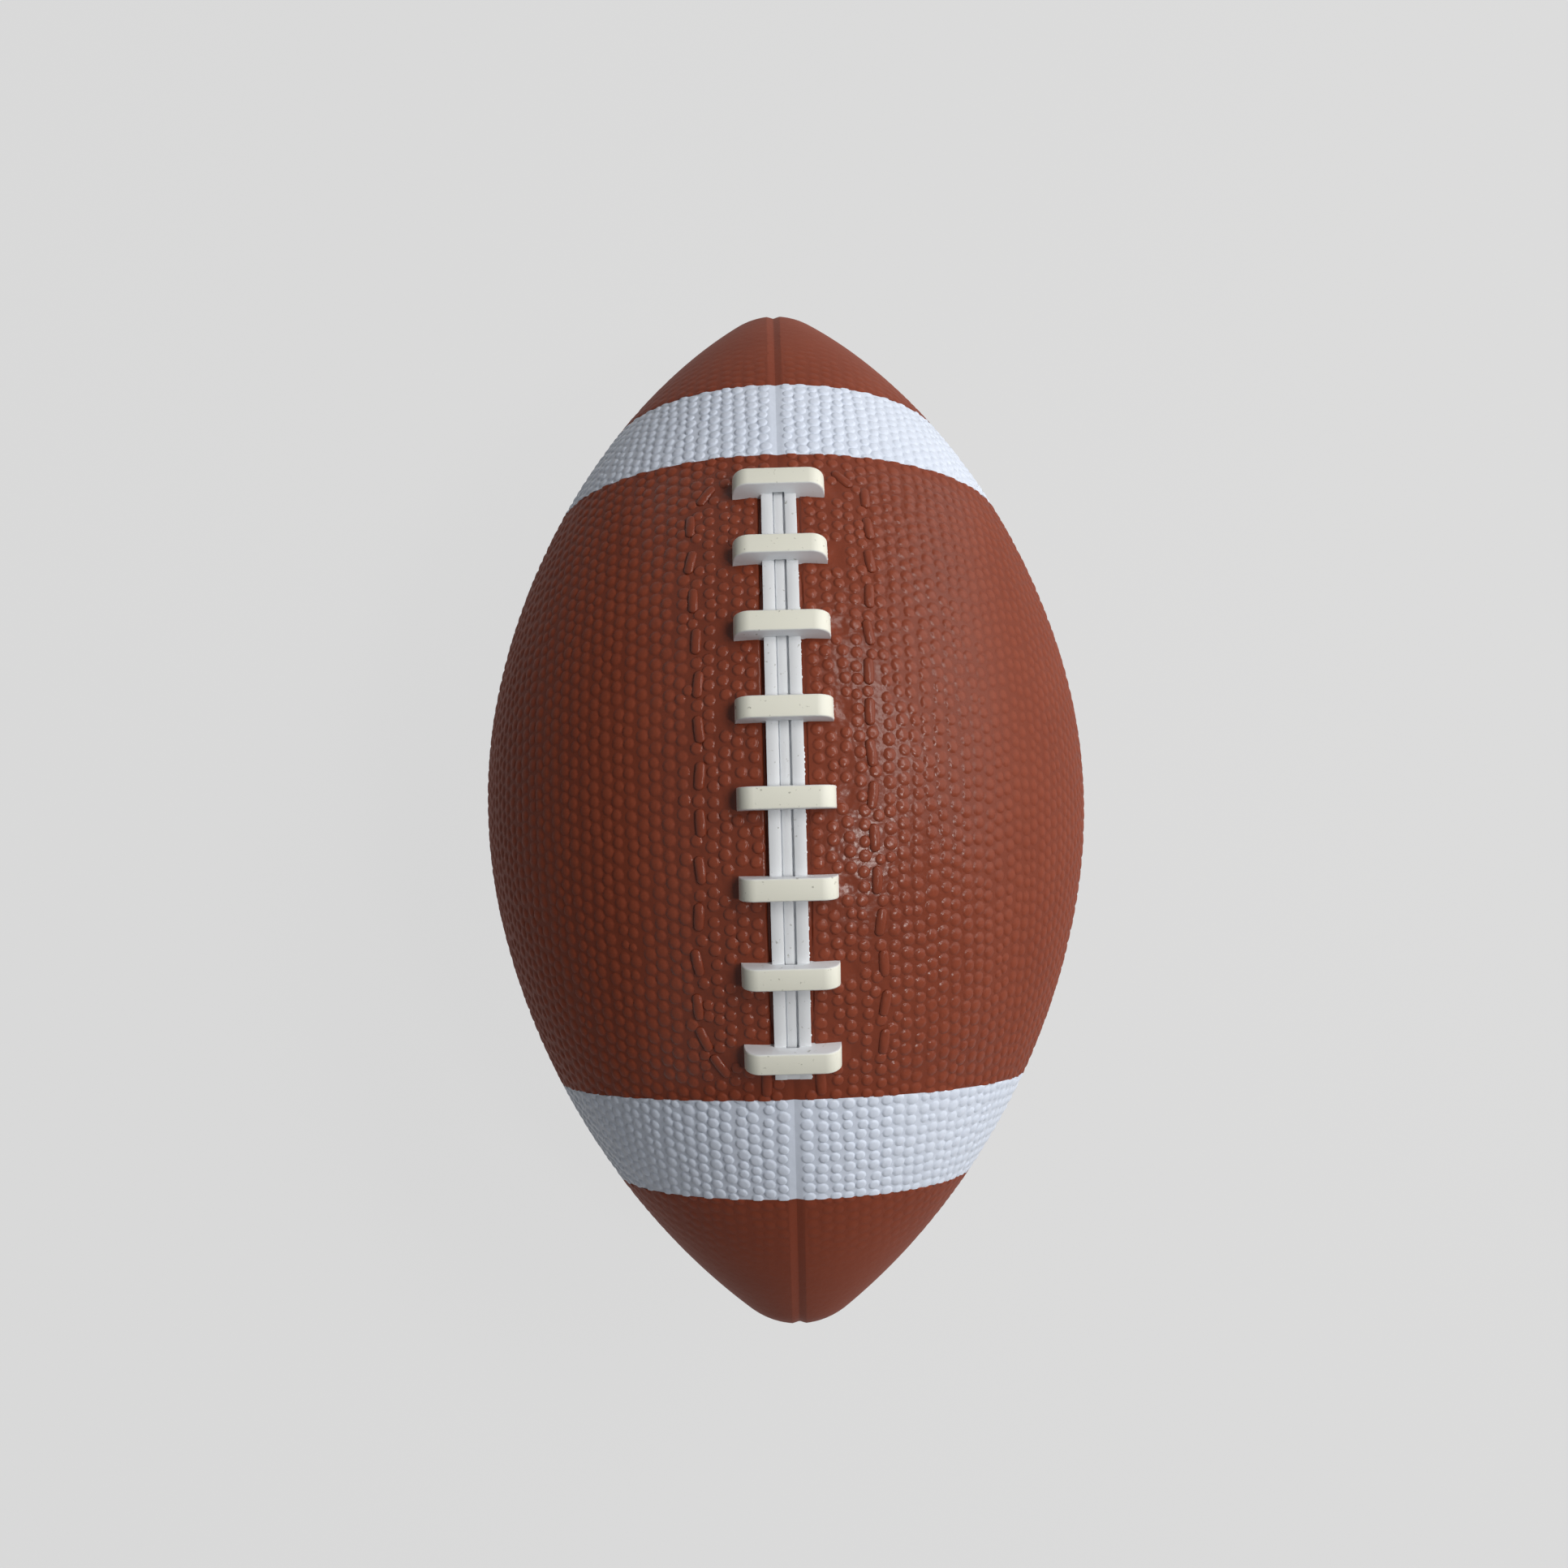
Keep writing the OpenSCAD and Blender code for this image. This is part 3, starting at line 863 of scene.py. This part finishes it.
# Crumbs of moulding flash: number on the spine's edge, where they end and how high they sit, number on a
# bar's end, how far in they sit, the bars that have some, and the least and greatest size
FLASH_COUNT = 60
FLASH_END = 45
FLASH_H = 0.2
BAR_FLASH_COUNT = 5
BAR_FLASH_IN = 0.1
FLASH_BARS = BARS[1:5]
FLASH_R = (0.12, 0.3)
# Heights between which hands have rubbed the lace, and the least rubbing anywhere
RUBBED_FROM = 1.0
RUBBED_TO = 2.2
RUBBED_LEAST = 0.15


def lace_spine(lace):
    """Spine with its rails and channel, spun along the cover's arcs from the tail to the head."""
    half = SPINE_W / 2
    floor = RAIL_H - CHANNEL_D
    wall = CHANNEL_W / 2
    slit = floor - SLIT_DEPTH
    section = []
    for hand, width in ((1, SLIT_W), (-1, THIN_SLIT_W)):
        edge = [(half, -SPINE_FOOT), (half, RAIL_H), (wall, RAIL_H), (wall, slit), (wall - width, slit),
                (wall - width, floor)]
        section += [(hand * x, h) for x, h in edge[::hand]]
    radius, place, slope = lace_place(-SPINE_HALF)
    verts = []
    for x, h in section:
        y = place + h * math.sin(slope)
        z = radius + h * math.cos(slope)
        verts.append(lace.verts.new((x * MM, y * MM, z * MM)))
    flank = (SPINE_HALF - BELLY_REACH) / FLANK_ARC_R
    arcs = [(-FLANK_Y, FLANK_Z, flank, FLANK_STEPS), (0.0, BELLY_Z, 2 * BELLY_SLOPE, BELLY_STEPS),
            (FLANK_Y, FLANK_Z, flank, FLANK_STEPS)]
    geom = [lace.faces.new(verts)]
    for y, z, angle, steps in arcs:
        made = bmesh.ops.spin(lace, geom=geom, cent=(0, y * MM, z * MM), axis=(1, 0, 0), angle=-angle,
                              steps=steps, use_duplicate=False)
        geom = made["geom_last"]


def lace_tabs(lace):
    """Ends of the spine past the outer bars, where the channel is closed."""
    length = BAR_W / 2 + SPINE_TAB - TAB_BLOCK_BACK
    for end in (1, -1):
        radius, place, slope = lace_place(end * (LACE_HALF + length / 2))
        turned = Matrix.Translation((0, place, radius)) @ Matrix.Rotation(-slope, 4, "X")
        size = Matrix.Diagonal((CHANNEL_W + 2 * TAB_BLOCK_GRIP, length, TAB_BLOCK_H, 1.0))
        sunk = Matrix.Translation((0, 0, RAIL_H - TAB_BLOCK_DROP - TAB_BLOCK_H / 2))
        bmesh.ops.create_cube(lace, size=1.0, matrix=Matrix.Scale(MM, 4) @ turned @ sunk @ size)


def lace_bar(along):
    """One bar: a flat top with round shoulders, over a tunnel for the channel."""
    bar = bmesh.new()
    half = BAR_LEN / 2
    wall = CHANNEL_W / 2
    roof = RAIL_H + TUNNEL_H
    arc = [(half - SHOULDER_R + SHOULDER_R * math.cos(a), BAR_H - SHOULDER_R + SHOULDER_R * math.sin(a))
           for a in np.linspace(0, QUARTER, SHOULDER_STEPS + 1)]
    right = [(wall, roof), (wall, -BAR_FOOT), (half, -BAR_FOOT)] + arc
    outline = right + [(-x, h) for x, h in reversed(right)]
    face = bar.faces.new([bar.verts.new((x, -BAR_W / 2, h)) for x, h in outline])
    pushed = bmesh.ops.extrude_face_region(bar, geom=[face])
    moved = [v for v in pushed["geom"] if isinstance(v, bmesh.types.BMVert)]
    bmesh.ops.translate(bar, verts=moved, vec=(0, BAR_W, 0))
    bmesh.ops.recalc_face_normals(bar, faces=bar.faces)
    rims = [e for e in bar.edges if abs(e.verts[0].co.y - e.verts[1].co.y) < 1e-6
            and min(v.co.z for v in e.verts) > 0.01 - BAR_FOOT]
    bmesh.ops.bevel(bar, geom=rims, offset=BAR_EDGE, segments=3, profile=0.5, affect="EDGES", material=-1)
    radius, place, slope = lace_place(along)
    bar.transform(Matrix.Translation((0, place, radius)) @ Matrix.Rotation(-slope, 4, "X"))
    bar.transform(Matrix.Scale(MM, 4))
    return bar


def flash_crumbs(lace):
    """Crumbs of moulding flash along the right edge of the spine and at some bars' right ends."""
    draw = np.random.default_rng(7)
    spots = [(SPINE_W / 2, along, FLASH_H) for along in draw.uniform(-SPINE_HALF, FLASH_END, FLASH_COUNT)]
    for bar in FLASH_BARS:
        offsets = draw.uniform(-BAR_W / 2, BAR_W / 2, BAR_FLASH_COUNT)
        spots += [(BAR_LEN / 2 - BAR_FLASH_IN, bar + offset, 0.0) for offset in offsets]
    for x, along, height in spots:
        radius, place, slope = lace_place(along)
        drop = radius - math.sqrt(radius ** 2 - x ** 2)
        size = draw.uniform(*FLASH_R)
        spot = Vector((x, place + height * math.sin(slope), radius - drop + height * math.cos(slope)))
        turned = Matrix.Translation(spot * MM) @ Matrix.Rotation(draw.uniform(0, math.pi), 4, "Y")
        bmesh.ops.create_icosphere(lace, subdivisions=1, radius=size * MM,
                                   matrix=turned @ Matrix.Diagonal((1.0, 1.3, 0.7, 1.0)))


def make_lace():
    """Lace strip: spine, bars, end tabs and flash, with the rubbing of hands on its tops."""
    lace = bmesh.new()
    lace_spine(lace)
    bmesh.ops.recalc_face_normals(lace, faces=lace.faces)
    rims = [e for e in lace.edges if len(e.link_faces) == 2 and e.calc_face_angle() > EDGE_FROM]
    bmesh.ops.bevel(lace, geom=rims, offset=SPINE_EDGE * MM, segments=2, profile=0.5, affect="EDGES",
                    material=-1)
    for along in BARS:
        bar_mesh = kept_mesh(lace_bar(along), "lace_bar")
        lace.from_mesh(bar_mesh)
        bpy.data.meshes.remove(bar_mesh)
    lace_tabs(lace)
    flash_crumbs(lace)
    for face in lace.faces:
        face.smooth = True
    mesh = kept_mesh(lace, "lace_strip_moulded")
    mesh.set_sharp_from_angle(angle=LACE_SHARP_FROM)

    points = mesh_points(mesh) / MM
    along = along_at(points[:, 1])
    height = points[:, 2] - np.sqrt(np.maximum(cover_at(along)[0] ** 2 - points[:, 0] ** 2, 0))
    normals = np.empty(len(points) * 3)
    mesh.vertices.foreach_get("normal", normals)
    ahead = cover_axes(along, np.zeros(len(along)))[1]
    facing = np.abs(np.sum(normals.reshape(-1, 3) * ahead, axis=1))
    rubbed = np.maximum(smooth_step(RUBBED_FROM, RUBBED_TO, height) * (1 - facing ** 2), RUBBED_LEAST)
    mesh.attributes.new("rubbed", "FLOAT", "POINT").data.foreach_set("value", rubbed)
    mesh.materials.append(lace_vinyl)
    show(mesh, "lace_strip")


make_lace()
for form in (PEBBLE_FINE, PEBBLE_PLAIN, PEBBLE_COARSE, STITCH):
    bpy.data.meshes.remove(form)
for node_name, finish in (("valve_housing", valve_rubber), ("valve_plug", plug_rubber),
                          ("bladder", bladder_butyl), ("nylon_winding", winding_nylon)):
    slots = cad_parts[node_name].data.materials
    slots.clear()
    slots.append(finish)

# Camera fitted to the photograph: its size and the focal length in pixels, place in mm, turns in radians
PHOTO_PX = 1932
FOCAL_PX = 1547.625
SENSOR_W = 36.0
CAMERA_PLACE = (-0.7821, -42.8156, 365.3821)
CAMERA_YAW = 0.0011
CAMERA_PITCH = -0.1275
CAMERA_ROLL = 0.0262

# Stage: half the floor's width and its gap below the ball in metres, its share of glow for rays that see
# the background, and the light of the room
FLOOR_HALF = 4.0
FLOOR_GAP = 0.0005
FLOOR_GLOW = 0.93
ROOM_LIGHT = 0.125
PALE_GREY = "#dadada"
GLOW_GREY = "#dddddd"
LAMP_WHITE = "#fffdfa"


def make_camera():
    """Camera fitted to the photograph's outline, stripes and lace."""
    turn = Matrix.Rotation(CAMERA_ROLL, 3, "Z") @ Matrix.Rotation(CAMERA_PITCH, 3, "X")
    turn = turn @ Matrix.Rotation(CAMERA_YAW, 3, "Y")
    lens = bpy.data.cameras.new("camera")
    lens.sensor_width = SENSOR_W
    lens.lens = FOCAL_PX / PHOTO_PX * SENSOR_W
    lens.clip_start = 0.01
    camera = bpy.data.objects.new("camera", lens)
    bpy.context.scene.collection.objects.link(camera)
    place = Vector(CAMERA_PLACE) * MM
    camera.matrix_world = Matrix.Translation(place) @ turn.transposed().to_4x4()
    bpy.context.scene.camera = camera


def area_light(name, place, size, power):
    """Soft oval lamp at a place in metres, which faces the ball."""
    light = bpy.data.lights.new(name, "AREA")
    light.shape = "ELLIPSE"
    light.size, light.size_y = size
    light.energy = power
    light.color = linear(LAMP_WHITE)[:3]
    lamp = bpy.data.objects.new(name, light)
    bpy.context.scene.collection.objects.link(lamp)
    lamp.matrix_world = Matrix.Translation(place) @ Vector(place).to_track_quat("Z", "Y").to_matrix().to_4x4()


def background_rays(tree):
    """Share of rays that see the pale background: those of the camera, of gloss and of glass."""
    path = add_node(tree, "ShaderNodeLightPath")
    seen = path.outputs["Is Camera Ray"]
    for kind in ("Is Glossy Ray", "Is Transmission Ray"):
        either = add_node(tree, "ShaderNodeMath", {"operation": "MAXIMUM"}, None,
                          {0: seen, 1: path.outputs[kind]})
        seen = either.outputs[0]
    return seen


def make_floor():
    """Pale paper under the ball, which keeps the ball's shadow."""
    sheet = bmesh.new()
    bmesh.ops.create_grid(sheet, x_segments=1, y_segments=1, size=FLOOR_HALF)
    bmesh.ops.translate(sheet, verts=sheet.verts, vec=(0, 0, cad_low.z - FLOOR_GAP))
    mesh = kept_mesh(sheet, "floor")
    floor = bpy.data.objects.new("floor", mesh)
    bpy.context.scene.collection.objects.link(floor)
    material = bpy.data.materials.new("floor_paper")
    material.use_nodes = True
    tree = material.node_tree
    tree.nodes.clear()
    paper = add_node(tree, "ShaderNodeBsdfDiffuse", None, {"Color": linear(PALE_GREY)})
    glow = add_node(tree, "ShaderNodeEmission", None, {"Color": linear(GLOW_GREY), "Strength": 1.0})
    seen = add_node(tree, "ShaderNodeMath", {"operation": "MULTIPLY"}, {1: FLOOR_GLOW},
                    {0: background_rays(tree)})
    mix = add_node(tree, "ShaderNodeMixShader", None, None,
                   {0: seen.outputs[0], 1: paper.outputs[0], 2: glow.outputs[0]})
    add_node(tree, "ShaderNodeOutputMaterial", None, None, {0: mix.outputs[0]})
    mesh.materials.append(material)


def make_surroundings():
    """Dim even room, which rays of the background see as pale grey."""
    world = bpy.data.worlds.new("studio")
    bpy.context.scene.world = world
    world.use_nodes = True
    tree = world.node_tree
    tree.nodes.clear()
    room = add_node(tree, "ShaderNodeBackground", None, {"Color": linear(PALE_GREY), "Strength": ROOM_LIGHT})
    backdrop = add_node(tree, "ShaderNodeBackground", None, {"Color": linear(PALE_GREY), "Strength": 1.0})
    mix = add_node(tree, "ShaderNodeMixShader", None, None,
                   {0: background_rays(tree), 1: room.outputs[0], 2: backdrop.outputs[0]})
    add_node(tree, "ShaderNodeOutputWorld", None, None, {0: mix.outputs[0]})


make_camera()
make_floor()
make_surroundings()
area_light("window_right", (1.2, 0.45, 0.45), (1.7, 1.7), 12.1)
area_light("strip_right", (0.57, 0.3, 0.88), (0.9, 0.16), 4.4)
area_light("lamp_tail", (0.5, -0.24, 0.95), (0.16, 0.16), 2.7)
bpy.context.scene.view_settings.view_transform = "Standard"
